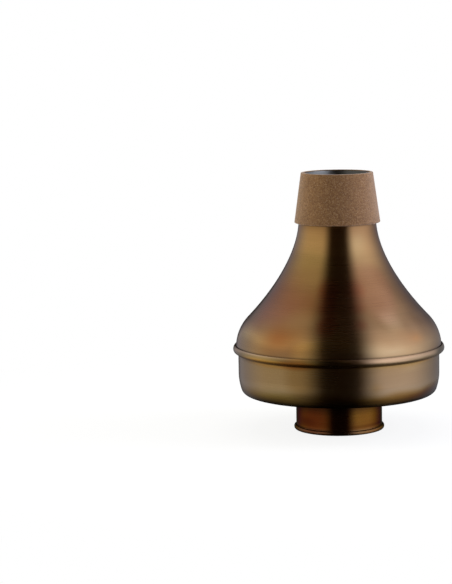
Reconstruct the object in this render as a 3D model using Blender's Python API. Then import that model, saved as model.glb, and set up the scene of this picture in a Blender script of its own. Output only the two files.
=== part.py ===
"""Wah-wah mute for a trombone, standing on the lip of its stem.

Two spun metal shells are locked together by a rolled seam. A cork collar sits on the neck of the upper
shell. The base shell is dished, and a springy sleeve soldered over the hole in its middle holds the stem:
a tube with a cup on its lower end, which slides along the axis and pulls right out.

Metres, +Z up along the axis, with the origin at the middle of the stem's lip. Every piece is turned round
the axis from an outline of (radius, height) points.
"""

from math import asin, acos, cos, pi, radians, sin, sqrt, tan

import bmesh
import bpy
from mathutils import Matrix, Vector
from mathutils.geometry import interpolate_bezier

# Sheet metal and clearances
SHEET = 0.0006            # thickness of the shells, the cup and the tubes
GAP = 0.0003              # between pieces that seat on each other
SLIDE = 0.0003            # between the stem's tube and its sleeve
SEGMENTS = 40             # facets round a turned piece

# Neck and cork collar
NECK_END = 0.0249         # outside radius of the neck at its open end
NECK_FOOT = 0.0296        # outside radius of the neck where the cork stops
NECK_INSET = 0.0005       # how far the metal stops short of the cork's end
CORK_LENGTH = 0.0382
CORK_END = 0.0024         # thickness of the cork at the open end
CORK_FOOT = 0.0028        # thickness of the cork at its wide end
CORK_EDGE = 0.0006        # rounding of the cork's outer edges

# Upper shell, from the cork down to the seam
SHELL_HEIGHT = 0.0966     # cork's foot above the middle of the seam
NECK_LEAN = radians(3.8)  # flare of the shell just below the cork, from upright
FLARE_LEAN = radians(43.9)  # steepest flare, where the shoulder starts
NECK_PULL = 0.0281        # how far the neck keeps its lean, as a curve handle
FLARE_PULL = 0.0204       # how far the flare keeps its lean, as a curve handle
SHOULDER = 0.034          # radius of the round shoulder
SHOULDER_LIFT = 0.0007    # its centre above the middle of the seam

# Seam: the base's rim is rolled round a hem on the upper shell
BEAD = 0.0026             # outside radius of the rolled bead
BEAD_FILLET = 0.0013      # hollow curve under the bead
HEM_BEND = 0.0003         # inside radius of the hem's fold
HEM_TILT = radians(20)    # how far the fold hangs below the middle of the bead

# Base shell
BODY = 0.0771             # outside radius of the upright wall
BASE_DEPTH = 0.0343       # middle of the seam above the lowest ridge of the base
WALL_CURVE = 0.040        # radius of the wall's gentle pull inwards
WALL_TURN = radians(20.7)  # angle that this curve turns through
CORNER = 0.0055           # radius of the ridge at the bottom
DISH_SLOPE = radians(14)  # rise of the dish towards the middle
DISH_BLEND = 0.012        # radius where the dish runs into the flat seat
SEAT_MARGIN = 0.0008      # flat seat beyond the stem's cup

# Stem
TUBE = 0.014              # outside radius of the tube
TUBE_LENGTH = 0.090       # above the seat
TUBE_FLANGE = 0.0045      # width of the tube's turned-out end
CUP = 0.0331              # outside radius of the cup
CUP_DEPTH = 0.0364        # from the lip to the top of the cup
CUP_CORNER = 0.006        # outside rounding at the top of the cup
LIP_REACH = 0.00165       # how far the rolled lip stands out from the cup
LIP_HEIGHT = 0.0033
LIP_FLAT = 0.0006         # width of the flat that the mute stands on

# Sleeve and solder
SLEEVE_LENGTH = 0.022
SLEEVE_FLANGE = 0.005     # width of the sleeve's turned-out foot
FLANGE_BEND = 0.0006      # inside radius of the bends into the flanges
SLOT_WIDTH = 0.0012       # slots that make the sleeve's end springy
SLOT_DEPTH = 0.014
SLOT_CUTTERS = 2          # each cuts a slot on either side
SOLDER = 0.0009           # leg of a solder fillet

# Places that follow from the sizes
SEAT_RADIUS = CUP + SEAT_MARGIN
SEAT_HEIGHT = CUP_DEPTH + GAP
SLEEVE = TUBE + SLIDE     # inside radius of the sleeve
BEAD_CENTRE = BODY + BEAD_FILLET

ridge_radius = BODY - WALL_CURVE + (WALL_CURVE - CORNER) * cos(WALL_TURN)
dish_run = ridge_radius - SEAT_RADIUS - (CORNER + DISH_BLEND) * sin(DISH_SLOPE)
DISH_DEPTH = dish_run * tan(DISH_SLOPE) + (CORNER + DISH_BLEND) * (1 - cos(DISH_SLOPE))
RIDGE_HEIGHT = SEAT_HEIGHT - DISH_DEPTH
SEAM_HEIGHT = RIDGE_HEIGHT + BASE_DEPTH
CORK_HEIGHT = SEAM_HEIGHT + SHELL_HEIGHT
END_HEIGHT = CORK_HEIGHT + CORK_LENGTH

# The hem fills the bead: its fold touches the inside of the roll, one gap away
hem_fold = HEM_BEND + SHEET
hem_room = BEAD - SHEET - GAP
HEM_RADIUS = BEAD_CENTRE + (hem_room - hem_fold) * cos(HEM_TILT)
HEM_HEIGHT = SEAM_HEIGHT - (hem_room - hem_fold) * sin(HEM_TILT)
SKIRT = HEM_RADIUS - HEM_BEND

# Colours as linear red, green and blue
COPPER = (0.30, 0.15, 0.065)
BRASS = (0.42, 0.27, 0.11)
RED_COPPER = (0.27, 0.10, 0.035)
CORK = (0.19, 0.115, 0.065)
TIN = (0.42, 0.40, 0.37)


def point(radius, height):
    return Vector((radius, height))


def arc(centre, radius, start, end, steps, stretch=1.0):
    """Points on a circle between two angles in radians; stretch makes it taller than wide."""
    angles = [start + (end - start) * step / steps for step in range(steps + 1)]
    return [centre + radius * point(cos(angle), stretch * sin(angle)) for angle in angles]


def joined(*runs):
    """One path from several runs, without the doubled points where they meet."""
    path = []
    for run in runs:
        path += [spot for spot in run if not path or (spot - path[-1]).length > GAP / 100]
    return path


def beside(path, distance):
    """The path moved to its own left, with mitred corners."""
    moved = []
    for before, spot, after in zip(path[:1] + path, path, path[1:] + path[-1:]):
        ways = [way.normalized() for way in (spot - before, after - spot) if way.length > 0]
        sides = [point(-way.y, way.x) for way in ways]
        mitre = (sides[0] + sides[-1]).normalized()
        moved.append(spot + mitre * (distance / mitre.dot(sides[0])))
    return moved


def sheet(path, thickness=SHEET):
    """Closed outline of a sheet that has one face on the path and the other to its left."""
    return path + beside(path, thickness)[::-1]


def material(name, colour, roughness, metallic):
    made = bpy.data.materials.new(name)
    made.use_nodes = True
    shader = made.node_tree.nodes["Principled BSDF"]
    shader.inputs["Base Color"].default_value = (*colour, 1.0)
    shader.inputs["Roughness"].default_value = roughness
    shader.inputs["Metallic"].default_value = metallic
    return made


def turned(name, outline, look, parent=None):
    """A closed piece made by turning an outline of (radius, height) points round the axis."""
    bm = bmesh.new()
    corners = [bm.verts.new((spot.x, 0.0, spot.y)) for spot in outline]
    sides = [bm.edges.new(pair) for pair in zip(corners, corners[1:] + corners[:1])]
    bmesh.ops.spin(bm, geom=corners + sides, cent=(0, 0, 0), axis=(0, 0, 1),
                   angle=2 * pi, steps=SEGMENTS, use_merge=True)
    bmesh.ops.recalc_face_normals(bm, faces=bm.faces)
    mesh = bpy.data.meshes.new(name)
    bm.to_mesh(mesh)
    bm.free()
    mesh.materials.append(look)
    mesh.shade_smooth()
    mesh.set_sharp_from_angle(angle=radians(35))
    piece = bpy.data.objects.new(name, mesh)
    piece.parent = parent
    bpy.context.collection.objects.link(piece)
    return piece


def neck_face(height):
    """Outside radius of the neck at a height beside the cork."""
    along = (height - CORK_HEIGHT) / (CORK_LENGTH - NECK_INSET)
    return NECK_FOOT + (NECK_END - NECK_FOOT) * along


def upper_shell():
    """Neck, flare and shoulder, with the hem that the seam holds."""
    neck_end = point(NECK_END, END_HEIGHT - NECK_INSET)
    neck_foot = point(NECK_FOOT, CORK_HEIGHT)
    shoulder_centre = point(SKIRT - SHOULDER, SEAM_HEIGHT + SHOULDER_LIFT)
    flare_end = shoulder_centre + SHOULDER * point(cos(FLARE_LEAN), sin(FLARE_LEAN))
    neck_handle = neck_foot + NECK_PULL * point(sin(NECK_LEAN), -cos(NECK_LEAN))
    flare_handle = flare_end - FLARE_PULL * point(sin(FLARE_LEAN), -cos(FLARE_LEAN))
    flare = interpolate_bezier(neck_foot, neck_handle, flare_handle, flare_end, 9)
    shoulder = arc(shoulder_centre, SHOULDER, FLARE_LEAN, 0, 5)
    fold_centre = point(HEM_RADIUS, HEM_HEIGHT)
    fold = arc(fold_centre, HEM_BEND, pi, 2 * pi, 4)
    hem_edge = HEM_RADIUS + HEM_BEND
    hem_top = SEAM_HEIGHT + sqrt(hem_room ** 2 - (hem_edge + SHEET - BEAD_CENTRE) ** 2)
    path = joined([neck_end], flare, shoulder, fold, [point(hem_edge, hem_top)])
    look = material("aged_copper_upper", COPPER, 0.32, 1.0)
    return turned("upper_shell", sheet(path, -SHEET), look)


def base_shell():
    """Rolled bead, wall, ridge and dish, ending at the hole for the stem."""
    bead_centre = point(BEAD_CENTRE, SEAM_HEIGHT)
    bead_end = acos((SKIRT + GAP - BEAD_CENTRE) / (BEAD - SHEET))
    bead = arc(bead_centre, BEAD, bead_end, -pi / 2, 7)
    fillet_centre = point(BEAD_CENTRE, SEAM_HEIGHT - BEAD - BEAD_FILLET)
    fillet = arc(fillet_centre, BEAD_FILLET, pi / 2, pi, 3)
    ridge_centre = point(ridge_radius, RIDGE_HEIGHT + CORNER)
    wall_centre = ridge_centre - (WALL_CURVE - CORNER) * point(cos(WALL_TURN), -sin(WALL_TURN))
    wall = arc(wall_centre, WALL_CURVE, 0, -WALL_TURN, 3)
    ridge = arc(ridge_centre, CORNER, -WALL_TURN, -pi / 2 - DISH_SLOPE, 5)
    blend_centre = point(SEAT_RADIUS, SEAT_HEIGHT - DISH_BLEND)
    blend = arc(blend_centre, DISH_BLEND, pi / 2 - DISH_SLOPE, pi / 2, 2)
    hole = point(SLEEVE + SLIDE, SEAT_HEIGHT)
    path = joined(bead, fillet, wall, ridge, blend, [hole])
    look = material("aged_copper_base", BRASS, 0.32, 1.0)
    return turned("base_shell", sheet(path, -SHEET), look)


def neck_cork():
    """Tapered cork collar that wedges in the bell."""
    foot_inside = neck_face(CORK_HEIGHT) + GAP
    end_inside = neck_face(END_HEIGHT) + GAP
    end_outside = end_inside + CORK_END
    foot_outside = foot_inside + CORK_FOOT
    end_round = arc(point(end_outside - CORK_EDGE, END_HEIGHT - CORK_EDGE), CORK_EDGE, pi / 2, 0, 3)
    foot_round = arc(point(foot_outside - CORK_EDGE, CORK_HEIGHT + CORK_EDGE), CORK_EDGE, 0, -pi / 2, 3)
    outline = [point(end_inside, END_HEIGHT)] + end_round + foot_round + [point(foot_inside, CORK_HEIGHT)]
    return turned("neck_cork", outline, material("cork", CORK, 0.9, 0.0))


def guide_sleeve():
    """Slotted sleeve on the inside of the base that grips the stem's tube."""
    floor = SEAT_HEIGHT + SHEET + GAP
    bend = FLANGE_BEND + SHEET
    top = point(SLEEVE, floor + SLEEVE_LENGTH)
    turn = arc(point(SLEEVE + bend, floor + bend), bend, pi, 3 * pi / 2, 3)
    rim = point(SLEEVE + SHEET + SLEEVE_FLANGE, floor)
    path = joined([top], turn, [rim])
    sleeve = turned("guide_sleeve", sheet(path), material("brass_sleeve", BRASS, 0.4, 1.0))
    reach = 2 * (SLEEVE + SHEET + SLEEVE_FLANGE)
    for index in range(SLOT_CUTTERS):
        cutter = slot_cutter(f"slot_cutter_{index + 1}", reach, top.y)
        cutter.rotation_euler.z = pi * index / SLOT_CUTTERS
        cut = sleeve.modifiers.new(cutter.name, "BOOLEAN")
        cut.operation = "DIFFERENCE"
        cut.object = cutter
    return sleeve


def slot_cutter(name, reach, top):
    """A bar across the sleeve, as deep as a slot, that cuts its two sides."""
    bm = bmesh.new()
    size = Matrix.Diagonal((reach, SLOT_WIDTH, 2 * SLOT_DEPTH, 1.0))
    bmesh.ops.create_cube(bm, size=1.0, matrix=Matrix.Translation((0, 0, top)) @ size)
    mesh = bpy.data.meshes.new(name)
    bm.to_mesh(mesh)
    bm.free()
    cutter = bpy.data.objects.new(name, mesh)
    cutter.hide_render = True
    cutter.display_type = "WIRE"
    bpy.context.collection.objects.link(cutter)
    return cutter


def solder_ring(name, radius, height, direction, parent=None):
    """Fillet of solder round the rim of a flange; direction is +1 above the joint and -1 below it."""
    corner = point(radius + GAP, height)
    outline = [corner, corner + point(SOLDER, 0), corner + point(0, SOLDER * direction)]
    return turned(name, outline, material(name, TIN, 0.45, 1.0), parent)


def stem_cup(stem):
    """Cup at the lower end of the stem, with an oval roll round its mouth."""
    inside = CUP - SHEET
    floor = -GAP - SHEET
    foot = -GAP - CUP_DEPTH
    hole = point(TUBE + FLANGE_BEND, floor)
    corner_radius = CUP_CORNER - SHEET
    corner = arc(point(inside - corner_radius, floor - corner_radius), corner_radius, pi / 2, 0, 4)
    half_width = (LIP_REACH + SHEET) / 2
    stretch = LIP_HEIGHT / 2 / half_width
    flat_turn = asin(LIP_FLAT / 2 / half_width)
    lip_centre = point(inside + half_width, foot + LIP_HEIGHT / 2 * cos(flat_turn))
    lip_end = 5 * pi / 2 + asin((half_width - SHEET - GAP) / half_width)
    inner_roll = arc(lip_centre, half_width, pi, 3 * pi / 2 - flat_turn, 3, stretch)
    outer_roll = arc(lip_centre, half_width, 3 * pi / 2 + flat_turn, lip_end, 7, stretch)
    path = joined([hole], corner, inner_roll, outer_roll)
    return turned("stem_cup", sheet(path), material("red_copper_cup", RED_COPPER, 0.3, 1.0), stem)


def stem_tube(stem):
    """Tube that slides in the sleeve; its turned-out end holds the cup's floor from below."""
    seat = -2 * GAP - SHEET
    bend = FLANGE_BEND
    turn = arc(point(TUBE + bend, seat + bend), bend, pi, 3 * pi / 2, 3)
    path = joined([point(TUBE, TUBE_LENGTH)], turn, [point(TUBE + TUBE_FLANGE, seat)])
    return turned("stem_tube", sheet(path, -SHEET), material("brass_tube", BRASS, 0.3, 1.0), stem)


def build():
    for old in list(bpy.data.objects):
        bpy.data.objects.remove(old)
    stem = bpy.data.objects.new("stem_slide", None)
    stem.location.z = SEAT_HEIGHT
    bpy.context.collection.objects.link(stem)
    upper_shell()
    base_shell()
    neck_cork()
    guide_sleeve()
    solder_ring("sleeve_solder", SLEEVE + SHEET + SLEEVE_FLANGE, SEAT_HEIGHT + SHEET + GAP, 1)
    stem_cup(stem)
    stem_tube(stem)
    solder_ring("stem_solder", TUBE + TUBE_FLANGE, -2 * GAP - SHEET, -1, stem)


build()
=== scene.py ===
from math import acos, asin, cos, pi, radians, sin, sqrt, tan

import bmesh
import bpy
from mathutils import Euler, Matrix, Vector
from mathutils.geometry import interpolate_bezier


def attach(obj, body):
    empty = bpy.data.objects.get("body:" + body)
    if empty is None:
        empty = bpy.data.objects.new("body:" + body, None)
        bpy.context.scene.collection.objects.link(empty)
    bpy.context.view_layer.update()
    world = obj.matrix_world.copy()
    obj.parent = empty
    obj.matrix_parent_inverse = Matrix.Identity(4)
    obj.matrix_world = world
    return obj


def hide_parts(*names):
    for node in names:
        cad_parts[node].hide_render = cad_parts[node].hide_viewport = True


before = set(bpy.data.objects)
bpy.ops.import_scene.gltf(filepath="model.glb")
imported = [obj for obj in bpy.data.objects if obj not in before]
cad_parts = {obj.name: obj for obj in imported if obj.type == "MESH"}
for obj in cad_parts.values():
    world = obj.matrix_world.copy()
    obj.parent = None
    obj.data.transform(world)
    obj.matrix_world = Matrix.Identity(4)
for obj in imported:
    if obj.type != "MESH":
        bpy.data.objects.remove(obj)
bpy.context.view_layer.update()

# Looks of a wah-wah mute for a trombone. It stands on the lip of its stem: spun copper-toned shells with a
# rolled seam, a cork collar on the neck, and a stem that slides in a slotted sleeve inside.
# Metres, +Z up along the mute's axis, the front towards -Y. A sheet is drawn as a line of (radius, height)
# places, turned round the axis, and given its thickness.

# Sheet metal and clearances
SHEET = 0.0006
GAP = 0.0003
SLIDE = 0.0003

# Drawing
TURNS = 256               # steps round a lathe-turned piece
FINE_TURNS = 128          # steps round the small hidden pieces
SAME_PLACE = 0.000001     # drawn places closer than this are one
SHELL_EDGE = 0.00012      # rounding of a shell's cut edges
STEM_EDGE = 0.0001        # rounding of the stem's cut edges
CUT_ANGLE = radians(60)   # an edge sharper than this was cut
SHADE_ANGLE = radians(40)     # an edge sharper than this is shaded as an edge

# Neck and cork collar
NECK_END = 0.0249
NECK_FOOT = 0.0296
NECK_INSET = 0.0005
CORK_LENGTH = 0.0382
CORK_END = 0.0024
CORK_FOOT = 0.0028
CORK_EDGE = 0.0006

# Upper shell
SHELL_HEIGHT = 0.0966
NECK_LEAN = radians(3.8)
FLARE_LEAN = radians(43.9)
NECK_PULL = 0.0281
FLARE_PULL = 0.0204
SHOULDER = 0.034
SHOULDER_LIFT = 0.0007

# Seam
BEAD = 0.0026
BEAD_FILLET = 0.0013
BEAD_STRETCH = 1.3        # the bead's upper half is that much taller than the solid's, which is round
HEM_BEND = 0.0003
HEM_TILT = radians(20)

# Base shell, whose lower corner is up to 0.7 mm fuller than the solid's
BODY = 0.0771
BASE_DEPTH = 0.03454
WALL_CURVE = 0.040
WALL_TURN = radians(18.5)
CORNER = 0.005
DISH_SLOPE = radians(14)
DISH_BLEND = 0.012
SEAT_MARGIN = 0.0008

# Stem
TUBE = 0.014
TUBE_LENGTH = 0.090
TUBE_FLANGE = 0.0045
CUP = 0.0331
CUP_DEPTH = 0.0364
CUP_CORNER = 0.006
LIP_REACH = 0.00165
LIP_HEIGHT = 0.0033
LIP_FLAT = 0.0006

# Sleeve and solder
SLEEVE_LENGTH = 0.022
SLEEVE_FLANGE = 0.005
FLANGE_BEND = 0.0006
SLOT_WIDTH = 0.0012
SLOT_DEPTH = 0.014
SOLDER = 0.0009

# Places that follow
SEAT_RADIUS = CUP + SEAT_MARGIN
SEAT_HEIGHT = CUP_DEPTH + GAP
SLEEVE = TUBE + SLIDE
SLEEVE_FLOOR = SEAT_HEIGHT + SHEET + GAP
TUBE_SEAT = SEAT_HEIGHT - 2 * GAP - SHEET
TUBE_END = SEAT_HEIGHT + TUBE_LENGTH
BEAD_CENTRE = BODY + BEAD_FILLET
RIDGE_RADIUS = BODY - WALL_CURVE + (WALL_CURVE - CORNER) * cos(WALL_TURN)
DISH_RUN = RIDGE_RADIUS - SEAT_RADIUS - (CORNER + DISH_BLEND) * sin(DISH_SLOPE)
DISH_DEPTH = DISH_RUN * tan(DISH_SLOPE) + (CORNER + DISH_BLEND) * (1 - cos(DISH_SLOPE))
RIDGE_HEIGHT = SEAT_HEIGHT - DISH_DEPTH
SEAM_HEIGHT = RIDGE_HEIGHT + BASE_DEPTH
CORK_HEIGHT = SEAM_HEIGHT + SHELL_HEIGHT
END_HEIGHT = CORK_HEIGHT + CORK_LENGTH
HEM_ROOM = BEAD - SHEET - GAP
HEM_RADIUS = BEAD_CENTRE + (HEM_ROOM - HEM_BEND - SHEET) * cos(HEM_TILT)
HEM_HEIGHT = SEAM_HEIGHT - (HEM_ROOM - HEM_BEND - SHEET) * sin(HEM_TILT)
SKIRT = HEM_RADIUS - HEM_BEND
BEAD_TOP = SEAM_HEIGHT + BEAD * BEAD_STRETCH


# Drawing and turning sheet metal

def begin(radius, height):
    """A new line that starts at a place."""
    bm = bmesh.new()
    return bm, bm.verts.new((radius, 0.0, height))


def draw(bm, spot, *places):
    """Straight on from the spot through (radius, height) places."""
    for radius, height in places:
        spot = bmesh.ops.extrude_vert_indiv(bm, verts=[spot])["verts"][0]
        spot.co = (radius, 0.0, height)
    return spot


def bend(bm, spot, centre, angle, steps):
    """Round a (radius, height) centre from the spot, anticlockwise for a positive angle."""
    swept = bmesh.ops.spin(bm, geom=[spot], cent=(centre[0], 0.0, centre[1]), axis=(0, -1, 0),
                           angle=angle, steps=steps)
    return swept["geom_last"][0]


def stretch(bm, verts, share, height):
    """Makes part of a drawn line taller, measured from a height."""
    bmesh.ops.scale(bm, vec=(1, 1, share), verts=verts, space=Matrix.Translation((0, 0, -height)))


def turn(bm, steps=TURNS):
    """Turns the drawn line right round the axis."""
    bmesh.ops.remove_doubles(bm, verts=bm.verts, dist=SAME_PLACE)
    bmesh.ops.spin(bm, geom=bm.verts[:] + bm.edges[:], cent=(0, 0, 0), axis=(0, 0, 1),
                   angle=2 * pi, steps=steps, use_merge=True)
    bmesh.ops.recalc_face_normals(bm, faces=bm.faces)


def face_wall(bm, height, outwards):
    """Turns the sheet over where needed, so that its wall at a height faces away from the axis, or
    towards it."""
    wall = min(bm.faces, key=lambda face: abs(face.calc_center_median().z - height))
    if (wall.normal.xy.dot(wall.calc_center_median().xy) > 0) != outwards:
        bmesh.ops.reverse_faces(bm, faces=bm.faces)


def thicken(bm):
    """Gives a turned sheet its wall, behind the drawn face."""
    bmesh.ops.solidify(bm, geom=bm.faces[:], thickness=SHEET)


def ease_edges(bm, width):
    """Rounds the cut edges of a wall."""
    cut = [edge for edge in bm.edges if len(edge.link_faces) == 2 and edge.calc_face_angle() > CUT_ANGLE]
    bmesh.ops.bevel(bm, geom=cut, offset=width, offset_type="OFFSET", affect="EDGES", segments=2,
                    profile=0.5, material=-1, clamp_overlap=True)


def faces_axis(normal, place):
    """Whether a face looks towards the axis."""
    return normal.xy.dot(place.xy) < 0


def line_inside(bm, is_inside):
    """Gives the faces on the inside of a wall the second material."""
    bm.normal_update()
    for face in bm.faces:
        face.material_index = int(is_inside(face.normal, face.calc_center_median()))


def make_object(name, bm, looks):
    """Makes the drawn mesh an object with its looks."""
    mesh = bpy.data.meshes.new(name)
    bm.to_mesh(mesh)
    bm.free()
    for look in looks:
        mesh.materials.append(look)
    made = bpy.data.objects.new(name, mesh)
    bpy.context.scene.collection.objects.link(made)
    return made


def finish_piece(name, bm, looks, body, node):
    """Makes the drawn mesh a piece that stands for a CAD node and rides on its body."""
    piece = make_object(name, bm, looks)
    piece.data.shade_smooth()
    piece.data.set_sharp_from_angle(angle=SHADE_ANGLE)
    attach(piece, body)
    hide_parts(node)


# Shader nodes

CRUMB_WOBBLE = 0.0009     # how far a cork granule's outline strays


def shader_tree(name):
    """A new material, its nodes and its Principled shader."""
    made = bpy.data.materials.new(name)
    made.use_nodes = True
    tree = made.node_tree
    return made, tree, tree.nodes["Principled BSDF"]


def node(tree, kind, inputs=None, **settings):
    """A node with its settings; each input is a value or another node's output."""
    made = tree.nodes.new(kind)
    for name, value in settings.items():
        setattr(made, name, value)
    for socket, value in (inputs or {}).items():
        if isinstance(value, bpy.types.NodeSocket):
            tree.links.new(value, made.inputs[socket])
        else:
            made.inputs[socket].default_value = value
    return made


def math(tree, operation, first, second=0.0):
    """One step of arithmetic."""
    return node(tree, "ShaderNodeMath", {0: first, 1: second}, operation=operation).outputs[0]


def times(tree, first, second):
    """One value multiplied by another."""
    return math(tree, "MULTIPLY", first, second)


def length(tree, first, second):
    """How far two steps at right angles go together."""
    return math(tree, "SQRT", math(tree, "ADD", times(tree, first, first), times(tree, second, second)))


def axes(tree, place):
    """The x, y and z of a place."""
    return node(tree, "ShaderNodeSeparateXYZ", {0: place}).outputs


def object_place(tree):
    """Where a point lies on the piece."""
    return node(tree, "ShaderNodeTexCoord").outputs["Object"]


def spread(tree, value, low, high, to_low=0.0, to_high=1.0, smooth=True):
    """Maps a value from one range to another."""
    made = node(tree, "ShaderNodeMapRange",
                {"Value": value, "From Min": low, "From Max": high, "To Min": to_low, "To Max": to_high},
                interpolation_type="SMOOTHSTEP" if smooth else "LINEAR")
    return made.outputs["Result"]


def between(tree, share, low, high):
    """The value that lies a share of the way from low to high."""
    return spread(tree, share, 0.0, 1.0, low, high, smooth=False)


def mix(tree, share, first, second, blend="MIX"):
    """Mixes two colours, each of them a plain (red, green, blue) or another node's output."""
    colours = {socket: (*colour, 1.0) if isinstance(colour, tuple) else colour
               for socket, colour in ((6, first), (7, second))}
    made = node(tree, "ShaderNodeMix", {0: share, **colours}, data_type="RGBA", blend_type=blend)
    return made.outputs[2]


def bands(tree, value, stops):
    """A colour ramp through (position, colour) stops."""
    made = node(tree, "ShaderNodeValToRGB", {"Fac": value})
    ramp = made.color_ramp
    ramp.interpolation = "B_SPLINE"
    while len(ramp.elements) < len(stops):
        ramp.elements.new(0.5)
    for element, (position, colour) in zip(ramp.elements, stops):
        element.position = position
        element.color = (*colour, 1.0)
    return made.outputs["Color"]


def raise_surface(tree, shader, height, strength, distance):
    """Bump from a height that changes over the surface."""
    bump = node(tree, "ShaderNodeBump", {"Strength": strength, "Distance": distance, "Height": height})
    tree.links.new(bump.outputs["Normal"], shader.inputs["Normal"])


def dragged_noise(tree, place, along, across, detail, roughness):
    """Noise drawn out into lines that run round the axis, on every face of a turned sheet."""
    x, y, z = axes(tree, place)
    drawn_out = node(tree, "ShaderNodeCombineXYZ", {
        0: times(tree, x, along), 1: times(tree, y, along), 2: times(tree, z, across)})
    noise = node(tree, "ShaderNodeTexNoise",
                 {"Vector": drawn_out.outputs[0], "W": times(tree, length(tree, x, y), across),
                  "Scale": 1.0, "Detail": detail, "Roughness": roughness},
                 noise_dimensions="4D")
    return noise.outputs["Fac"]


def new_group(name, inputs, outputs):
    """A shader node group with named float or vector inputs and float outputs."""
    tree = bpy.data.node_groups.new(name, "ShaderNodeTree")
    for title, kind, value in inputs:
        socket = tree.interface.new_socket(name=title, in_out="INPUT", socket_type=kind)
        if value is not None:
            socket.default_value = value
    for title in outputs:
        tree.interface.new_socket(name=title, in_out="OUTPUT", socket_type="NodeSocketFloat")
    return tree, tree.nodes.new("NodeGroupInput").outputs, tree.nodes.new("NodeGroupOutput").inputs


def placed_group(tree, group, **inputs):
    """A node group with its own values in this material."""
    return node(tree, "ShaderNodeGroup", inputs, node_tree=group).outputs


def lathe_lines_group():
    """Fine lines that run round the axis on every face, as a spun and brushed sheet has them."""
    tree, given, result = new_group(
        "lathe_lines",
        [("Position", "NodeSocketVector", None), ("Fineness", "NodeSocketFloat", 900.0),
         ("Length", "NodeSocketFloat", 9.0)],
        ["Lines"])
    lines = dragged_noise(tree, given["Position"], given["Length"], given["Fineness"], 4.0, 0.6)
    tree.links.new(spread(tree, lines, 0.3, 0.7), result["Lines"])
    return tree


def patina_group():
    """Soft clouds where the aged colour is deeper, and thin streaks dragged round by the brushing."""
    tree, given, result = new_group(
        "patina",
        [("Position", "NodeSocketVector", None), ("Size", "NodeSocketFloat", 14.0),
         ("Drag", "NodeSocketFloat", 160.0), ("Seed", "NodeSocketFloat", 0.0)],
        ["Cloud", "Streak"])
    cloud = node(tree, "ShaderNodeTexNoise",
                 {"Vector": given["Position"], "W": given["Seed"], "Scale": given["Size"],
                  "Detail": 2.0, "Roughness": 0.45, "Distortion": 0.4},
                 noise_dimensions="4D")
    streak = dragged_noise(tree, given["Position"], given["Size"], given["Drag"], 3.0, 0.55)
    tree.links.new(spread(tree, cloud.outputs["Fac"], 0.32, 0.68), result["Cloud"])
    tree.links.new(spread(tree, streak, 0.32, 0.68), result["Streak"])
    return tree


def crumbs_group():
    """Pressed cork granules: a shade for each one, and the dark joints between them."""
    tree, given, result = new_group(
        "cork_crumbs",
        [("Position", "NodeSocketVector", None), ("Size", "NodeSocketFloat", 900.0)],
        ["Shade", "Joint"])
    wobble = node(tree, "ShaderNodeTexNoise",
                  {"Vector": given["Position"], "Scale": times(tree, given["Size"], 0.9), "Detail": 2.0},
                  noise_dimensions="3D")
    shift = node(tree, "ShaderNodeVectorMath",
                 {0: wobble.outputs["Color"], 1: (CRUMB_WOBBLE, CRUMB_WOBBLE, CRUMB_WOBBLE)},
                 operation="MULTIPLY")
    place = node(tree, "ShaderNodeVectorMath", {0: given["Position"], 1: shift.outputs[0]},
                 operation="ADD")
    crumb, edge = (
        node(tree, "ShaderNodeTexVoronoi",
             {"Vector": place.outputs[0], "Scale": given["Size"], "Randomness": 1.0},
             feature=feature, voronoi_dimensions="3D")
        for feature in ("F1", "DISTANCE_TO_EDGE"))
    shade = axes(tree, crumb.outputs["Color"])[0]
    tree.links.new(shade, result["Shade"])
    tree.links.new(spread(tree, edge.outputs["Distance"], 0.0, 0.12, 1.0, 0.0), result["Joint"])
    return tree


def stain_and_light_patch_group():
    """A soft patch round a place, taller or wider as its two reaches say, with an uneven edge."""
    tree, given, result = new_group(
        "stain_and_light_patch",
        [("Position", "NodeSocketVector", None), ("Place", "NodeSocketVector", None),
         ("Reach", "NodeSocketFloat", 0.02), ("Rise", "NodeSocketFloat", 0.01),
         ("Unevenness", "NodeSocketFloat", 0.5)],
        ["Amount"])
    away = node(tree, "ShaderNodeVectorMath", {0: given["Position"], 1: given["Place"]},
                operation="SUBTRACT")
    x, y, z = axes(tree, away.outputs[0])
    across = math(tree, "DIVIDE", length(tree, x, y), given["Reach"])
    upward = math(tree, "DIVIDE", z, given["Rise"])
    distance = math(tree, "ADD", length(tree, across, upward),
                    math(tree, "SUBTRACT", given["Unevenness"], 0.5))
    tree.links.new(spread(tree, distance, 0.0, 1.0, 1.0, 0.0), result["Amount"])
    return tree


# Finishes, with colours as linear red, green and blue

# Brushed metal
STREAK_WANDER = 0.0006    # how far a streak drags the colours up or down
LINE_TONE = 0.035         # how much paler or darker a lathe line is
STREAK_TONE = 0.03
LINE_ROUGHNESS = 0.03
CLOUD_ROUGHNESS = (-0.02, 0.03)
LACQUER_ROUGHNESS = 0.28
UNTINTED = (1.0, 1.0, 1.0)

# Cork
CRUMB_SIZE = 1150.0       # granules to a metre
DUST_SIZE = 2200.0
DARK_DUST = (0.84, 0.88)  # shades of dust that show as dark flecks, from none to full
PALE_DUST = (0.11, 0.07)
CORK_SHADES = [(0.0, (0.11, 0.05, 0.017)), (0.25, (0.155, 0.075, 0.027)),
               (0.7, (0.185, 0.093, 0.035)), (1.0, (0.24, 0.13, 0.057))]
DARK_FLECK = (0.085, 0.038, 0.016)
PALE_FLECK = (0.42, 0.28, 0.18)
CRUMB_JOINT = (0.11, 0.055, 0.026)
CORK_CLOUD = (0.14, 0.075, 0.036)
GLUE_LINE = (0.07, 0.035, 0.02)
JOINT_SLANT = 0.18        # sideways for each step up
JOINT_WIDTH = (0.00015, 0.0004)   # half of the glued joint's width, where it is full and where it ends

# Solder
BRIGHT_SOLDER = (0.50, 0.48, 0.45)
DULL_SOLDER = (0.30, 0.28, 0.25)

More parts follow.
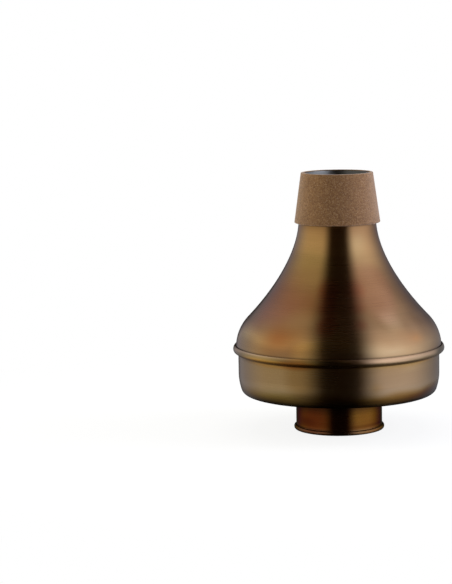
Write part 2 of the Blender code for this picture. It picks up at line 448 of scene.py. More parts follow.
# Clouds of deeper colour, which the finish is multiplied by
PLUM = (0.80, 0.52, 0.62)
EMBER = (0.85, 0.42, 0.28)
RUSSET = (0.9, 0.6, 0.45)
SLATE = (0.7, 0.72, 0.76)
MAUVE = (0.6, 0.45, 0.6)
STRAW = (0.8, 0.7, 0.5)

# Finish colours
BROWN_COPPER = (0.32, 0.21, 0.12)
GOLD_COPPER = (0.58, 0.41, 0.21)
ROSE_COPPER = (0.44, 0.265, 0.13)
DARK_COPPER = (0.35, 0.195, 0.08)
NECK_COPPER = (0.47, 0.285, 0.12)
BRASS = (0.37, 0.25, 0.14)
PALE_BRASS = (0.46, 0.34, 0.22)
AMBER = (0.31, 0.18, 0.04)
DARK_AMBER = (0.16, 0.085, 0.018)
# painted shade: the underside of the base's ridge, and the top of the stem under the base
UNDERSIDE_SHADE_BROWN = (0.02, 0.012, 0.006)
BURNT_COPPER = (0.48, 0.29, 0.08)
# On the bead, dull copper is painted shade on its lower half and bright copper a painted highlight along
# its crest, with some rubbed wear
DULL_COPPER = (0.27, 0.185, 0.085)
BRIGHT_COPPER = (0.68, 0.47, 0.30)
# Lip copper is painted shade on the lip's underside; the colour after it is a painted highlight along the
# lip's roll
LIP_COPPER = (0.17, 0.11, 0.05)
LIP_HIGHLIGHT_COPPER = (0.54, 0.37, 0.19)
RED_COPPER = (0.23, 0.12, 0.02)
DEEP_COPPER = (0.19, 0.09, 0.018)
DARK_RED_COPPER = (0.06, 0.032, 0.01)
INSIDE_BROWN = (0.26, 0.19, 0.11)
INSIDE_TAN = (0.30, 0.23, 0.15)
INSIDE_STEEL = (0.50, 0.53, 0.57)
CUP_GOLD = (0.36, 0.24, 0.10)
CUP_BROWN = (0.26, 0.15, 0.08)
CUP_PURPLE = (0.16, 0.11, 0.12)
TUBE_BRASS = (0.42, 0.27, 0.11)
RUBBED_BRASS = (0.50, 0.34, 0.15)

# Height and colour, from the foot of each piece up
UPPER_ZONES = [
    (0.062, BROWN_COPPER), (0.068, BROWN_COPPER), (0.074, GOLD_COPPER), (0.081, ROSE_COPPER),
    (0.090, ROSE_COPPER), (0.100, DARK_COPPER), (0.126, DARK_COPPER), (0.138, NECK_COPPER),
    (0.150, NECK_COPPER), (0.160, DARK_COPPER)]
# The base darkens down its belly, through dark amber to its ridge: painted shade
BASE_ZONES = [
    (0.028, UNDERSIDE_SHADE_BROWN), (0.0324, DARK_AMBER), (0.0364, AMBER), (0.0404, PALE_BRASS), (0.044, BRASS),
    # bead: painted shade on its lower half, painted highlight with some rubbed wear on its crest
    (0.058, BRASS), (0.0605, BURNT_COPPER), (0.0621, DULL_COPPER), (0.0636, DULL_COPPER),
    (0.0648, BRIGHT_COPPER), (0.0662, BRIGHT_COPPER)]
# The stem darkens towards its top, under the base, through dark red copper: painted shadow of the base
STEM_ZONES = [
    (0.0, LIP_COPPER), (0.0014, LIP_COPPER), (0.0027, LIP_HIGHLIGHT_COPPER), (0.0041, RED_COPPER),
    (0.007, DEEP_COPPER), (0.014, RED_COPPER), (0.020, DARK_RED_COPPER), (0.037, UNDERSIDE_SHADE_BROWN)]
INSIDE_ZONES = [(RIDGE_HEIGHT, INSIDE_BROWN), (0.11, INSIDE_TAN), (END_HEIGHT, INSIDE_STEEL)]
CUP_INSIDE_ZONES = [(0.0, CUP_GOLD), (0.018, CUP_BROWN), (0.037, CUP_PURPLE)]
TUBE_ZONES = [(SEAT_HEIGHT, TUBE_BRASS), (TUBE_END, RUBBED_BRASS)]

# Stains, and patches of painted highlight and painted shade as marked: degrees round from the front, to
# the right where positive, then radius and height, how far they reach sideways and up, and what the finish
# is multiplied by in the middle
UPPER_STAINS_AND_PAINTED_LIGHT = [
    (-51, 0.056, 0.102, 0.034, 0.024, (0.90, 0.70, 0.86)),
    # painted reflection: reddish fringes along both edges of the dark band that the front mirrors
    *[(degrees, radius, height, 0.009, 0.012, shade)
      for degrees, shade in ((-11, (1.0, 0.62, 0.56)), (11, (1.0, 0.74, 0.72)))
      for radius, height in ((0.049, 0.112), (0.058, 0.101), (0.067, 0.090))],
    (34, 0.049, 0.112, 0.040, 0.030, (1.0, 0.86, 0.95)),
    (27, 0.062, 0.094, 0.030, 0.014, (0.88, 0.84, 0.80)),
    (-18, 0.055, 0.104, 0.016, 0.016, (0.88, 0.78, 0.72)),
    (-26, 0.043, 0.121, 0.028, 0.020, (1.0, 1.12, 1.02)),
    (-38, 0.075, 0.078, 0.032, 0.016, (0.85, 0.66, 0.52)),
    (-40, 0.075, 0.0785, 0.016, 0.014, (1.0, 0.86, 0.78)),
    (46, 0.0755, 0.077, 0.028, 0.012, (1.36, 1.12, 0.84)),
    # painted highlight: the pale sheen of the right-hand light on the lacquer
    (28, 0.078, 0.070, 0.040, 0.012, (1.16, 1.34, 1.55)),
    # painted highlight: the same sheen on the neck
    (30, 0.0318, 0.151, 0.026, 0.028, (1.10, 1.28, 1.45)),
    # painted highlight at the left edge
    (-72, 0.078, 0.070, 0.042, 0.013, (1.3, 1.32, 1.22)),
    # painted highlights: the right-hand sheen at the right edge and on the flare
    (70, 0.076, 0.078, 0.060, 0.026, (1.6, 1.85, 2.05)),
    (50, 0.070, 0.086, 0.030, 0.012, (1.2, 1.22, 1.3)),
    (70, 0.067, 0.091, 0.032, 0.014, (1.4, 1.6, 1.8)),
    # painted highlight above the bead's crest
    (-19, 0.079, 0.070, 0.016, 0.009, (1.35, 1.35, 1.05)),
    # painted highlight: the right-hand sheen on the flare
    (52, 0.062, 0.097, 0.036, 0.022, (1.25, 1.3, 1.42)),
    (150, 0.055, 0.095, 0.05, 0.026, (1.0, 0.75, 0.8)),
    (-140, 0.065, 0.083, 0.05, 0.02, (1.0, 0.8, 0.6))]
BASE_STAINS_AND_PAINTED_LIGHT = [
    (-27, 0.0806, 0.0612, 0.014, 0.004, (0.8, 0.6, 0.5)),
    (-56, 0.0806, 0.063, 0.020, 0.003, (1.4, 1.4, 1.4)),
    # painted shade on the bead's right side, dimming its highlight
    (36, 0.0806, 0.0635, 0.075, 0.0036, (0.30, 0.36, 0.34)),
    (-23, 0.077, 0.051, 0.014, 0.018, (0.80, 0.72, 0.55)),
    (42, 0.077, 0.055, 0.040, 0.008, (1.16, 1.22, 1.22)),
    (-38, 0.0755, 0.034, 0.045, 0.006, (1.15, 1.35, 1.8)),
    (34, 0.0755, 0.036, 0.050, 0.010, (0.90, 0.76, 0.50)),
    (50, 0.073, 0.0333, 0.045, 0.006, (0.62, 0.38, 0.05)),
    (18, 0.077, 0.043, 0.016, 0.014, (0.90, 0.80, 0.50)),
    (-19, 0.074, 0.0335, 0.016, 0.006, (0.72, 0.70, 0.88)),
    (19, 0.074, 0.0335, 0.016, 0.006, (0.72, 0.66, 0.56)),
    # painted highlight on the bead's crest
    (-19, 0.080, 0.0652, 0.014, 0.003, (1.5, 1.4, 1.15)),
    (50, 0.0775, 0.060, 0.030, 0.004, (1.5, 1.3, 1.1)),
    # painted shade under the ends of the bead
    *[(degrees, 0.0775, 0.060, 0.022, 0.0035, (0.5, 0.42, 0.3)) for degrees in (-76, 76)],
    (-45, 0.0775, 0.060, 0.045, 0.003, (1.05, 0.88, 0.55)),
    (130, 0.077, 0.050, 0.05, 0.02, (1.0, 0.8, 0.6))]
STEM_STAINS_AND_PAINTED_LIGHT = [
    (-46, 0.033, 0.016, 0.046, 0.03, (0.64, 0.27, 0.22)),
    (29, 0.033, 0.016, 0.013, 0.014, (1.2, 1.5, 1.15)),
    (54, 0.033, 0.010, 0.024, 0.04, (0.85, 0.64, 0.5)),
    # painted shade just above the lip on the right
    (40, 0.033, 0.0053, 0.032, 0.0022, (0.66, 0.55, 0.42)),
    (-52, 0.033, 0.009, 0.011, 0.006, (0.72, 0.58, 0.50)),
    (-50, 0.0345, 0.0018, 0.050, 0.003, (0.66, 0.66, 0.85)),
    # painted highlight on the lip at the right
    (26, 0.0345, 0.0018, 0.026, 0.003, (1.4, 1.35, 1.3)),
    (-120, 0.033, 0.010, 0.035, 0.02, (1.0, 0.7, 0.5))]
# painted shade: the far inside of the neck, darker where it lies deep
INSIDE_PAINTED_SHADE = [(150, 0.0243, 0.194, 0.022, 0.03, (0.4, 0.4, 0.44))]

# Painted shade: dark lines along the creases at the cork's foot, above and below the bead and above the
# lip: height, reach and how much darker
UPPER_CREASE_SHADE = [(CORK_HEIGHT, 0.0014, 0.4), (BEAD_TOP, 0.0012, 0.35)]
BASE_CREASE_SHADE = [(SEAM_HEIGHT - BEAD - 0.0006, 0.0014, 0.2)]
STEM_CREASE_SHADE = [(LIP_HEIGHT + 0.0006, 0.0008, 0.5)]

lathe_lines = lathe_lines_group()
patina = patina_group()
cork_crumbs = crumbs_group()
stain_and_light_patch = stain_and_light_patch_group()


def spun_metal(name, zones, flush, flush_share, crease_shade=(), stains_and_painted_light=(), seed=0.0, roughness=0.3,
               anisotropic=0.9, wander=0.006, lacquer=0.0, rim=UNTINTED):
    """Brushed, aged sheet metal. Its colour runs through its zones, wandering with the patina, and turns
    towards the flush colour in clouds. The rim colour is what the metal keeps where it is seen edge on."""
    made, tree, shader = shader_tree(name)
    position = object_place(tree)
    z = axes(tree, position)["Z"]
    lines = placed_group(tree, lathe_lines, Position=position)["Lines"]
    clouds = placed_group(tree, patina, Position=position, Seed=seed)
    moved = math(tree, "ADD", z, between(tree, clouds["Cloud"], -wander, wander))
    moved = math(tree, "ADD", moved, between(tree, clouds["Streak"], -STREAK_WANDER, STREAK_WANDER))
    low, high = zones[0][0], zones[-1][0]
    colour = bands(tree, spread(tree, moved, low, high, smooth=False),
                   [((height - low) / (high - low), shade) for height, shade in zones])
    colour = mix(tree, times(tree, clouds["Cloud"], flush_share), colour, flush, "MULTIPLY")
    # stains, and patches of painted highlight and painted shade
    for degrees, radius, height, reach, rise, shade in stains_and_painted_light:
        place = (radius * sin(radians(degrees)), -radius * cos(radians(degrees)), height)
        amount = placed_group(tree, stain_and_light_patch, Position=position, Place=place, Reach=reach, Rise=rise,
                              Unevenness=clouds["Cloud"])["Amount"]
        colour = mix(tree, amount, colour, shade, "MULTIPLY")
    tone = between(tree, lines, 1.0 - LINE_TONE, 1.0 + LINE_TONE)
    tone = times(tree, tone, between(tree, clouds["Streak"], 1.0 - STREAK_TONE, 1.0 + STREAK_TONE))
    # painted shade along the creases
    for height, reach, depth in crease_shade:
        away = math(tree, "ABSOLUTE", math(tree, "SUBTRACT", z, height))
        tone = times(tree, tone, spread(tree, away, 0.0, reach, 1.0 - depth, 1.0))
    grey = node(tree, "ShaderNodeCombineColor", {0: tone, 1: tone, 2: tone}).outputs[0]
    colour = node(tree, "ShaderNodeVectorMath", {0: colour, 1: grey}, operation="MULTIPLY").outputs[0]
    tree.links.new(colour, shader.inputs["Base Color"])
    rough = math(tree, "ADD", between(tree, lines, roughness - LINE_ROUGHNESS, roughness + LINE_ROUGHNESS),
                 between(tree, clouds["Cloud"], *CLOUD_ROUGHNESS))
    tree.links.new(rough, shader.inputs["Roughness"])
    raise_surface(tree, shader, lines, strength=0.05, distance=0.00004)
    around = node(tree, "ShaderNodeVectorMath", {0: (0.0, 0.0, 1.0), 1: position},
                  operation="CROSS_PRODUCT")
    tree.links.new(around.outputs[0], shader.inputs["Tangent"])
    shader.inputs["Metallic"].default_value = 1.0
    shader.inputs["Specular Tint"].default_value = (*rim, 1.0)
    shader.inputs["Anisotropic"].default_value = anisotropic
    shader.inputs["Anisotropic Rotation"].default_value = 0.25
    shader.inputs["Coat Weight"].default_value = lacquer
    shader.inputs["Coat Roughness"].default_value = LACQUER_ROUGHNESS
    return made


def cork_look():
    """Pressed cork with dark and pale flecks, glued into a ring with a slanting joint at the back."""
    made, tree, shader = shader_tree("pressed_cork")
    position = object_place(tree)
    crumbs = placed_group(tree, cork_crumbs, Position=position, Size=CRUMB_SIZE)
    dust = placed_group(tree, cork_crumbs, Position=position, Size=DUST_SIZE)
    cloud = placed_group(tree, patina, Position=position, Size=60.0, Seed=3.0)["Cloud"]
    colour = bands(tree, crumbs["Shade"], CORK_SHADES)
    colour = mix(tree, spread(tree, dust["Shade"], *DARK_DUST, 0.0, 0.5), colour, DARK_FLECK)
    colour = mix(tree, spread(tree, dust["Shade"], *PALE_DUST, 0.0, 0.32), colour, PALE_FLECK)
    colour = mix(tree, times(tree, crumbs["Joint"], 0.2), colour, CRUMB_JOINT)
    colour = mix(tree, times(tree, cloud, 0.15), colour, CORK_CLOUD)
    x, y, z = axes(tree, position)
    slant = times(tree, math(tree, "SUBTRACT", z, CORK_HEIGHT), JOINT_SLANT)
    beside = math(tree, "ABSOLUTE", math(tree, "ADD", x, slant))
    behind = spread(tree, y, 0.0, 0.005)
    joint = times(tree, spread(tree, beside, *JOINT_WIDTH, 1.0, 0.0), behind)
    colour = mix(tree, times(tree, joint, 0.75), colour, GLUE_LINE)
    tree.links.new(colour, shader.inputs["Base Color"])
    tree.links.new(between(tree, crumbs["Shade"], 0.82, 0.97), shader.inputs["Roughness"])
    height = math(tree, "ADD", times(tree, crumbs["Shade"], 0.5), times(tree, dust["Shade"], 0.3))
    height = math(tree, "SUBTRACT", height, times(tree, crumbs["Joint"], 0.5))
    height = math(tree, "SUBTRACT", height, times(tree, joint, 1.5))
    raise_surface(tree, shader, height, strength=0.5, distance=0.00015)
    shader.inputs["Specular IOR Level"].default_value = 0.25
    shader.inputs["Sheen Weight"].default_value = 0.3
    shader.inputs["Sheen Roughness"].default_value = 0.5
    return made


def solder_look():
    """Soft solder, clouded from bright to dull."""
    made, tree, shader = shader_tree("soft_solder")
    cloud = placed_group(tree, patina, Position=object_place(tree), Size=220.0, Seed=7.0)["Cloud"]
    tree.links.new(mix(tree, cloud, BRIGHT_SOLDER, DULL_SOLDER), shader.inputs["Base Color"])
    tree.links.new(between(tree, cloud, 0.35, 0.55), shader.inputs["Roughness"])
    raise_surface(tree, shader, cloud, strength=0.4, distance=0.0002)
    shader.inputs["Metallic"].default_value = 1.0
    return made


upper_copper = spun_metal(
    "aged_copper_upper", UPPER_ZONES, PLUM, 0.2, UPPER_CREASE_SHADE, UPPER_STAINS_AND_PAINTED_LIGHT,
    lacquer=0.3, rim=(0.8, 0.75, 0.8))
base_brass = spun_metal(
    "aged_brass_base", BASE_ZONES, EMBER, 0.12, BASE_CREASE_SHADE, BASE_STAINS_AND_PAINTED_LIGHT,
    seed=4.0, wander=0.0015, lacquer=0.3, rim=(0.92, 0.90, 0.92))
# The stem's dark rim colour is painted shade: its edges are darkened for the shadow of the base above
stem_copper = spun_metal(
    "red_copper_stem", STEM_ZONES, RUSSET, 0.2, STEM_CREASE_SHADE, STEM_STAINS_AND_PAINTED_LIGHT,
    seed=9.0, wander=0.001, lacquer=0.1, rim=(0.3, 0.32, 0.2))
bare_inside = spun_metal(
    "bare_inside", INSIDE_ZONES, SLATE, 0.4, stains_and_painted_light=INSIDE_PAINTED_SHADE,
    seed=12.0, roughness=0.42, anisotropic=0.7)
cup_inside = spun_metal(
    "aged_cup_inside", CUP_INSIDE_ZONES, MAUVE, 0.5, seed=15.0, roughness=0.38, lacquer=1.0)
tube_brass = spun_metal(
    "drawn_brass", TUBE_ZONES, STRAW, 0.3, seed=18.0, roughness=0.25, anisotropic=0.6)
cork = cork_look()
solder = solder_look()


# Pieces

def upper_shell():
    """Neck, flare and shoulder, with the hem that the seam holds."""
    bm, spot = begin(NECK_END, END_HEIGHT - NECK_INSET)
    foot = Vector((NECK_FOOT, CORK_HEIGHT))
    spot = draw(bm, spot, foot)
    centre = Vector((SKIRT - SHOULDER, SEAM_HEIGHT + SHOULDER_LIFT))
    flare_end = centre + SHOULDER * Vector((cos(FLARE_LEAN), sin(FLARE_LEAN)))
    neck_handle = foot + NECK_PULL * Vector((sin(NECK_LEAN), -cos(NECK_LEAN)))
    flare_handle = flare_end - FLARE_PULL * Vector((sin(FLARE_LEAN), -cos(FLARE_LEAN)))
    flare = interpolate_bezier(foot, neck_handle, flare_handle, flare_end, 40)
    spot = draw(bm, spot, *flare[1:])
    spot = bend(bm, spot, centre, -FLARE_LEAN, steps=20)
    spot = draw(bm, spot, (SKIRT, HEM_HEIGHT))
    spot = bend(bm, spot, (HEM_RADIUS, HEM_HEIGHT), pi, steps=8)
    hem_edge = HEM_RADIUS + HEM_BEND
    draw(bm, spot, (hem_edge, SEAM_HEIGHT + sqrt(HEM_ROOM ** 2 - (hem_edge + SHEET - BEAD_CENTRE) ** 2)))
    turn(bm)
    thicken(bm)
    ease_edges(bm, SHELL_EDGE)
    line_inside(bm, faces_axis)
    finish_piece("upper_shell_spun", bm, [upper_copper, bare_inside],
                 "mute_body", "upper_shell")


def base_shell():
    """Rolled bead, wall, ridge and dish, ending at the hole for the stem."""
    bead_start = acos((SKIRT + GAP - BEAD_CENTRE) / (BEAD - SHEET))
    bm, spot = begin(BEAD_CENTRE + BEAD * cos(bead_start), SEAM_HEIGHT + BEAD * sin(bead_start))
    spot = bend(bm, spot, (BEAD_CENTRE, SEAM_HEIGHT), -pi / 2 - bead_start, steps=20)
    stretch(bm, [vert for vert in bm.verts if vert.co.z > SEAM_HEIGHT], BEAD_STRETCH, SEAM_HEIGHT)
    spot = bend(bm, spot, (BEAD_CENTRE, SEAM_HEIGHT - BEAD - BEAD_FILLET), pi / 2, steps=8)
    ridge = Vector((RIDGE_RADIUS, RIDGE_HEIGHT + CORNER))
    wall_centre = ridge - (WALL_CURVE - CORNER) * Vector((cos(WALL_TURN), -sin(WALL_TURN)))
    spot = draw(bm, spot, (BODY, wall_centre.y))
    spot = bend(bm, spot, wall_centre, -WALL_TURN, steps=12)
    spot = bend(bm, spot, ridge, WALL_TURN - pi / 2 - DISH_SLOPE, steps=16)
    blend_centre = Vector((SEAT_RADIUS, SEAT_HEIGHT - DISH_BLEND))
    blend_start = blend_centre + DISH_BLEND * Vector((sin(DISH_SLOPE), cos(DISH_SLOPE)))
    spot = draw(bm, spot, blend_start)
    spot = bend(bm, spot, blend_centre, DISH_SLOPE, steps=6)
    draw(bm, spot, (SLEEVE + SLIDE, SEAT_HEIGHT))
    turn(bm)
    thicken(bm)
    ease_edges(bm, SHELL_EDGE)

    def is_inside(normal, place):
        """The dish's upper face, and the faces of the wall and the bead towards the axis."""
        if abs(normal.z) > 0.8 and place.z < SEAT_HEIGHT + 0.002:
            return normal.z > 0.8
        return faces_axis(normal, place)

    line_inside(bm, is_inside)
    finish_piece("base_shell_spun", bm, [base_brass, bare_inside],
                 "mute_body", "base_shell")


def neck_face(height):
    """The neck's radius at a height."""
    along = (height - CORK_HEIGHT) / (CORK_LENGTH - NECK_INSET)
    return NECK_FOOT + (NECK_END - NECK_FOOT) * along


def neck_cork():
    """Tapered cork collar."""
    foot_inside = neck_face(CORK_HEIGHT) + GAP
    end_inside = neck_face(END_HEIGHT) + GAP
    end_outside = end_inside + CORK_END
    foot_outside = foot_inside + CORK_FOOT
    bm, spot = begin(end_inside, END_HEIGHT)
    spot = draw(bm, spot, (end_outside - CORK_EDGE, END_HEIGHT))
    spot = bend(bm, spot, (end_outside - CORK_EDGE, END_HEIGHT - CORK_EDGE), -pi / 2, steps=6)
    spot = draw(bm, spot, (foot_outside, CORK_HEIGHT + CORK_EDGE))
    spot = bend(bm, spot, (foot_outside - CORK_EDGE, CORK_HEIGHT + CORK_EDGE), -pi / 2, steps=6)
    draw(bm, spot, (foot_inside, CORK_HEIGHT), (end_inside, END_HEIGHT))
    turn(bm)
    finish_piece("neck_cork_collar", bm, [cork], "mute_body", "neck_cork")


def guide_sleeve():
    """Slotted sleeve that grips the stem's tube."""
    top = SLEEVE_FLOOR + SLEEVE_LENGTH
    fold = FLANGE_BEND + SHEET
    bm, spot = begin(SLEEVE, top)
    spot = draw(bm, spot, (SLEEVE, SLEEVE_FLOOR + fold))
    spot = bend(bm, spot, (SLEEVE + fold, SLEEVE_FLOOR + fold), pi / 2, steps=6)
    draw(bm, spot, (SLEEVE + SHEET + SLEEVE_FLANGE, SLEEVE_FLOOR))
    turn(bm, FINE_TURNS)
    slot_foot = top - SLOT_DEPTH
    cuts = [((0, 0, slot_foot), (0, 0, 1))]
    cuts += [((side * SLOT_WIDTH / 2, 0, 0), (1, 0, 0)) for side in (1, -1)]
    cuts += [((0, side * SLOT_WIDTH / 2, 0), (0, 1, 0)) for side in (1, -1)]
    for place, across in cuts:
        bmesh.ops.bisect_plane(bm, geom=bm.verts[:] + bm.edges[:] + bm.faces[:], plane_co=place,
                               plane_no=across)
    middles = {face: face.calc_center_median() for face in bm.faces}
    slots = [face for face, place in middles.items()
             if place.z > slot_foot and min(abs(place.x), abs(place.y)) < SLOT_WIDTH / 2]
    bmesh.ops.delete(bm, geom=slots, context="FACES")
    face_wall(bm, top, outwards=False)
    thicken(bm)
    finish_piece("guide_sleeve_slotted", bm, [tube_brass], "mute_body", "guide_sleeve")


def solder_fillet(name, radius, height, direction, body, node_name):
    """Hollow fillet of solder round the rim of a flange, above it (1) or below it (-1)."""
    bm, spot = begin(radius + GAP, height)
    spot = draw(bm, spot, (radius + GAP + SOLDER, height))
    centre = (radius + GAP + SOLDER, height + SOLDER * direction)
    spot = bend(bm, spot, centre, -pi / 2 * direction, steps=6)
    draw(bm, spot, (radius + GAP, height))
    turn(bm, FINE_TURNS)
    finish_piece(name, bm, [solder], body, node_name)


def stem_cup():
    """Cup at the lower end of the stem, with an oval roll round its mouth."""
    inside = CUP - SHEET
    top = SEAT_HEIGHT - GAP - SHEET
    foot = SEAT_HEIGHT - GAP - CUP_DEPTH
    corner = CUP_CORNER - SHEET
    half_width = (LIP_REACH + SHEET) / 2
    flat_turn = asin(LIP_FLAT / 2 / half_width)
    middle = foot + LIP_HEIGHT / 2 * cos(flat_turn)
    roll_end = 5 * pi / 2 + asin((half_width - SHEET - GAP) / half_width)
    bm, spot = begin(TUBE + FLANGE_BEND, top)
    spot = draw(bm, spot, (inside - corner, top))
    spot = bend(bm, spot, (inside - corner, top - corner), -pi / 2, steps=10)
    spot = draw(bm, spot, (inside, middle))
    drawn = set(bm.verts)
    centre = (inside + half_width, middle)
    spot = bend(bm, spot, centre, pi / 2 - flat_turn, steps=8)
    spot = draw(bm, spot, (inside + half_width + LIP_FLAT / 2, spot.co.z))
    bend(bm, spot, centre, roll_end - 3 * pi / 2 - flat_turn, steps=24)
    stretch(bm, [vert for vert in bm.verts if vert not in drawn], LIP_HEIGHT / 2 / half_width, middle)
    turn(bm)
    face_wall(bm, (middle + top) / 2, outwards=False)
    thicken(bm)
    ease_edges(bm, STEM_EDGE)

    def is_inside(normal, place):
        """The wall's inner face and the floor's underside, above the lip."""
        if place.z <= LIP_HEIGHT:
            return False
        if abs(normal.z) > 0.7:
            return normal.z < -0.5
        return faces_axis(normal, place)

    line_inside(bm, is_inside)
    finish_piece("stem_cup_spun", bm, [stem_copper, cup_inside], "stem", "stem_cup")


def stem_tube():
    """Tube with its turned-out end under the cup's floor."""
    bm, spot = begin(TUBE, TUBE_END)
    spot = draw(bm, spot, (TUBE, TUBE_SEAT + FLANGE_BEND))
    spot = bend(bm, spot, (TUBE + FLANGE_BEND, TUBE_SEAT + FLANGE_BEND), pi / 2, steps=6)
    draw(bm, spot, (TUBE + TUBE_FLANGE, TUBE_SEAT))
    turn(bm, FINE_TURNS)
    face_wall(bm, TUBE_END, outwards=True)
    thicken(bm)
    ease_edges(bm, STEM_EDGE)
    finish_piece("stem_tube_drawn", bm, [tube_brass], "stem", "stem_tube")


upper_shell()
base_shell()
neck_cork()
guide_sleeve()
stem_cup()
stem_tube()
solder_fillet("sleeve_solder_fillet", SLEEVE + SHEET + SLEEVE_FLANGE, SLEEVE_FLOOR, 1,
              "mute_body", "sleeve_solder")
solder_fillet("stem_solder_fillet", TUBE + TUBE_FLANGE, TUBE_SEAT, -1,
              "stem", "stem_solder")


# Studio

WHITE = (1.0, 1.0, 1.0, 1.0)
FLOOR_GREY = (0.85, 0.85, 0.85, 1.0)
FLOOR_REACH = 6.0
NEAR_WHITE = 0.88         # how much of the floor shows white close to the mute, where its shadow lies
ROOM_LIGHT = 0.3          # even light from all round
STUDIO = 4.0              # radius of the walls that the metal mirrors
DIM = 0.017               # light of the dark wall behind the camera
DIM_TINT = (1.2, 0.78, 0.35)
LEFT_TINT = (1.0, 0.92, 0.68)
RIGHT_TINT = (1.0, 1.02, 1.08)
BACK_TINT = (0.9, 0.93, 1.0)

# The windows, on a wall of radius 1: each pair goes from the sides and the back to behind the camera
WINDOW_BEGINS = (0.14, 0.32)
WINDOW_FULL = (0.43, 0.84)
RIGHT_BEGINS = 0.92       # the right window begins at that share of the left one's distance
LOW_FULL = 1.3            # low down, a window is full that many times further out

# Light of the windows, from the front to the back, and the share that is left of it
LEFT_LIGHT = (0.78, 0.42)
RIGHT_LIGHT = (1.25, 0.30)
LEFT_HIGH = 0.8           # high up
RIGHT_HIGH = 0.62
LEFT_BACK = 0.8           # at the very back, above the floor
RIGHT_BACK = 0.5
BELOW = 0.12              # under the mute


def shows_white(tree):
    """1 for what the camera sees, straight or in metal or glass, and 0 for what lights the mute."""
    seen = node(tree, "ShaderNodeLightPath").outputs
    mirrored = math(tree, "MAXIMUM", seen["Is Glossy Ray"], seen["Is Transmission Ray"])
    return math(tree, "MAXIMUM", seen["Is Camera Ray"], mirrored)


def floor():
    """Pale floor that shows white and keeps the mute's soft shadow. From below it is clear."""
    look, tree, shader = shader_tree("pale_floor")
    tree.nodes.remove(shader)
    matt = node(tree, "ShaderNodeBsdfDiffuse", {"Color": FLOOR_GREY})
    white = node(tree, "ShaderNodeEmission", {"Color": WHITE, "Strength": 1.0})
    x, y = axes(tree, object_place(tree))[:2]
    share = times(tree, shows_white(tree), spread(tree, length(tree, x, y), 0.1, 0.4, NEAR_WHITE, 1.0))
    lit = node(tree, "ShaderNodeMixShader", {0: share, 1: matt.outputs[0], 2: white.outputs[0]})
    clear = node(tree, "ShaderNodeBsdfTransparent")
    under = node(tree, "ShaderNodeNewGeometry").outputs["Backfacing"]
    both = node(tree, "ShaderNodeMixShader", {0: under, 1: lit.outputs[0], 2: clear.outputs[0]})
    tree.links.new(both.outputs[0], tree.nodes["Material Output"].inputs["Surface"])
    bm = bmesh.new()
    bmesh.ops.create_grid(bm, x_segments=1, y_segments=1, size=FLOOR_REACH)
    made = make_object("floor", bm, [look])
    made.visible_glossy = False


def studio_walls():
    """What the metal mirrors: a dark room behind the camera and overhead, and a wide soft window on either
    side, greyer towards the back."""
    look, tree, shader = shader_tree("studio_walls")
    tree.nodes.remove(shader)
    ways = node(tree, "ShaderNodeVectorMath", {0: object_place(tree)}, operation="NORMALIZE").outputs[0]
    x, y, z = axes(tree, ways)
    side = math(tree, "ABSOLUTE", x)
    right = spread(tree, x, -0.05, 0.05)
    ahead = math(tree, "MAXIMUM", times(tree, y, -1.0), 0.0)
    begins = times(tree, between(tree, ahead, *WINDOW_BEGINS), between(tree, right, 1.0, RIGHT_BEGINS))
    full = times(tree, between(tree, ahead, *WINDOW_FULL), spread(tree, z, -0.4, 0.0, LOW_FULL, 1.0))
    window = node(tree, "ShaderNodeMapRange", {"Value": side, "From Min": begins, "From Max": full},
                  interpolation_type="SMOOTHSTEP").outputs["Result"]
    right_level = times(tree, spread(tree, y, -0.3, 0.95, *RIGHT_LIGHT),
                        spread(tree, z, 0.3, 0.95, 1.0, RIGHT_HIGH))
    left_level = times(tree, spread(tree, y, 0.1, 0.98, *LEFT_LIGHT),
                       spread(tree, z, 0.35, 0.95, 1.0, LEFT_HIGH))
    level = node(tree, "ShaderNodeMix", {0: right, 2: left_level, 3: right_level},
                 data_type="FLOAT").outputs[0]
    at_back = times(tree, spread(tree, y, 0.72, 0.95), spread(tree, z, 0.0, 0.2))
    level = times(tree, level, between(tree, at_back, 1.0, between(tree, right, LEFT_BACK, RIGHT_BACK)))
    level = math(tree, "MAXIMUM", times(tree, level, window), DIM)
    level = times(tree, level, spread(tree, z, -0.75, -0.05, BELOW, 1.0))
    tint = mix(tree, right, LEFT_TINT, RIGHT_TINT)
    tint = mix(tree, spread(tree, y, 0.0, 0.85), tint, BACK_TINT)
    tint = mix(tree, spread(tree, window, 0.0, 0.25), DIM_TINT, tint)
    glow = node(tree, "ShaderNodeEmission", {"Color": tint, "Strength": level})
    tree.links.new(glow.outputs[0], tree.nodes["Material Output"].inputs["Surface"])
    look.cycles.emission_sampling = "NONE"
    bm = bmesh.new()
    bmesh.ops.create_icosphere(bm, subdivisions=5, radius=STUDIO)
    bmesh.ops.reverse_faces(bm, faces=bm.faces)
    made = make_object("studio_walls", bm, [look])
    made.visible_camera = False
    made.visible_diffuse = False
    made.visible_transmission = False
    made.visible_shadow = False


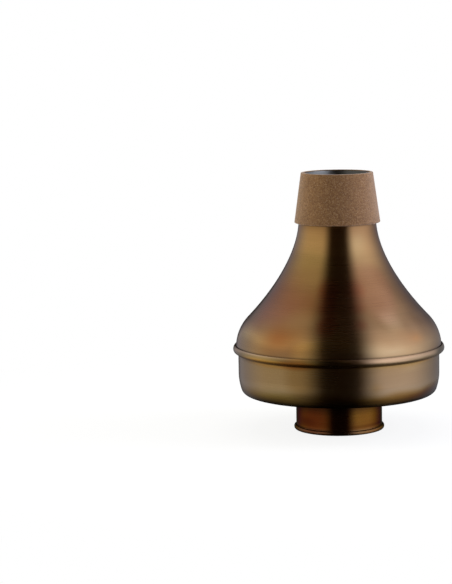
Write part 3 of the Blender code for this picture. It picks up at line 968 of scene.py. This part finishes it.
def soft_lamp(name, place, size, power, tint):
    """A large lamp that faces the middle of the mute."""
    data = bpy.data.lights.new(name, "AREA")
    data.shape = "RECTANGLE"
    data.size, data.size_y = size
    data.energy = power
    data.color = tint
    lamp = bpy.data.objects.new(name, data)
    lamp.location = place
    aim = Vector((0.0, 0.0, 0.1)) - Vector(place)
    lamp.rotation_euler = aim.to_track_quat("-Z", "Y").to_euler()
    lamp.visible_glossy = False
    lamp.visible_camera = False
    bpy.context.scene.collection.objects.link(lamp)


def white_surroundings():
    """White behind the mute, and a low even light from all round."""
    world = bpy.data.worlds.new("white_surroundings")
    world.use_nodes = True
    bpy.context.scene.world = world
    tree = world.node_tree
    back = tree.nodes["Background"]
    back.inputs["Color"].default_value = WHITE
    tree.links.new(between(tree, shows_white(tree), ROOM_LIGHT, 1.0), back.inputs["Strength"])


floor()
studio_walls()
white_surroundings()
soft_lamp("left_lamp", place=(-1.6, 0.1, 0.7), size=(1.0, 1.8), power=27.0, tint=(1.0, 0.93, 0.62))
soft_lamp("right_lamp", place=(1.6, -0.1, 0.7), size=(1.0, 1.8), power=41.0, tint=(1.0, 1.04, 1.25))
soft_lamp("top_lamp", place=(0.0, 0.3, 1.9), size=(1.6, 1.6), power=20.0, tint=(1.0, 1.0, 1.0))


# Camera

LENS = 125.4              # millimetres, on the long side of the picture
PICTURE_SIDE = 36.0
CAMERA_TILT = radians(7.61)   # looking down
CAMERA_ROLL = radians(-0.97)
CAMERA_DISTANCE = 1.559
CAMERA_SIDE = -0.0858     # left of the mute, which stands right of the middle of the picture
AIM_HEIGHT = 0.1069

camera_data = bpy.data.cameras.new("camera")
camera_data.lens = LENS
camera_data.sensor_width = PICTURE_SIDE
camera_data.clip_start = 0.05
camera_data.clip_end = 50.0
camera = bpy.data.objects.new("camera", camera_data)
camera.location = (CAMERA_SIDE, -CAMERA_DISTANCE * cos(CAMERA_TILT),
                   AIM_HEIGHT + CAMERA_DISTANCE * sin(CAMERA_TILT))
tilt = Euler((pi / 2 - CAMERA_TILT, 0.0, 0.0)).to_matrix()
roll = Euler((0.0, 0.0, CAMERA_ROLL)).to_matrix()
camera.rotation_euler = (tilt @ roll).to_euler()
bpy.context.scene.collection.objects.link(camera)
bpy.context.scene.camera = camera
bpy.context.scene.view_settings.view_transform = "Standard"
